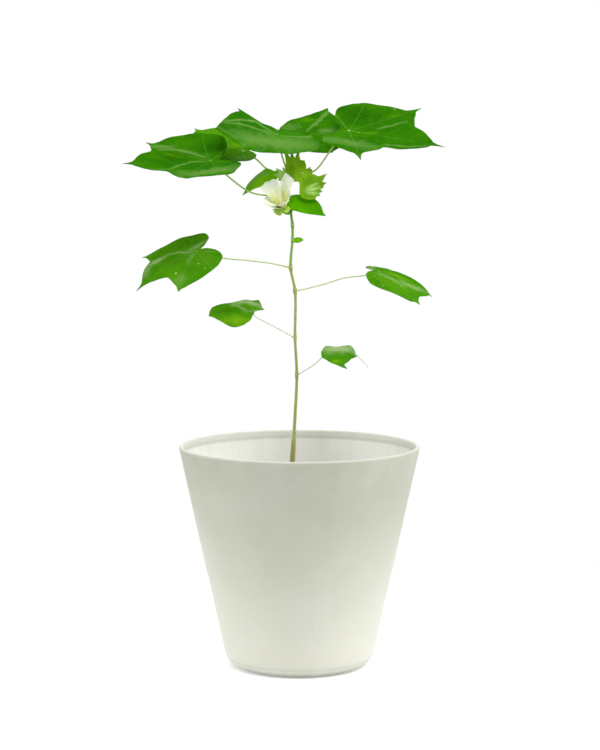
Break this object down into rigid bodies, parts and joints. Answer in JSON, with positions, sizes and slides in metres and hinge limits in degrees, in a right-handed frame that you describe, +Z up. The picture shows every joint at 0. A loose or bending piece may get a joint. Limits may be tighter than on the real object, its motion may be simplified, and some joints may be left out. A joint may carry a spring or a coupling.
{
  "type": "potted cotton plant",
  "caption": "Young cotton plant in flower in a plain tapered planter: lobed leaves on thin stalks, one open pale flower and a closed bud above soil",
  "frame": {"origin": "centre of the planter's flat base, on the floor", "axes": "+Z up along the plant, +X to the right and +Y away from the side the plant is seen from"},
  "size_m": [0.3602, 0.279, 0.6535],
  "materials": {
    "pot": "off-white moulded planter with a faint grey-green cast, slightly soiled",
    "soil": "dark crumbly potting soil",
    "stem": "olive green shoot, browner towards the soil",
    "leaf": "soft matt leaf with pale veins",
    "young_leaf": "bright tender leaf",
    "petal": "creamy white petal, greenish towards the throat",
    "pollen": "pale yellow anthers",
    "bract": "yellow-green toothed bract",
    "petal_bud": "pale closed bud"
  },
  "bodies": {
    "root": {"pot": "pot", "soil": "soil", "stem": "stem", "leaf_left": "leaf", "leaf_back_left": "leaf", "leaf_centre": "leaf", "leaf_back_right": "leaf", "leaf_right": "leaf", "leaf_mid_left": "leaf", "leaf_low_left": "leaf", "leaf_mid_right": "leaf", "leaf_low_right": "leaf", "young_leaf_left": "young_leaf", "young_leaf_right": "young_leaf", "corolla": "petal", "stamen_column": "pollen", "flower_bracts": "bract", "bud_bracts": "bract", "bud": "petal_bud"}
  },
  "joints": []
}
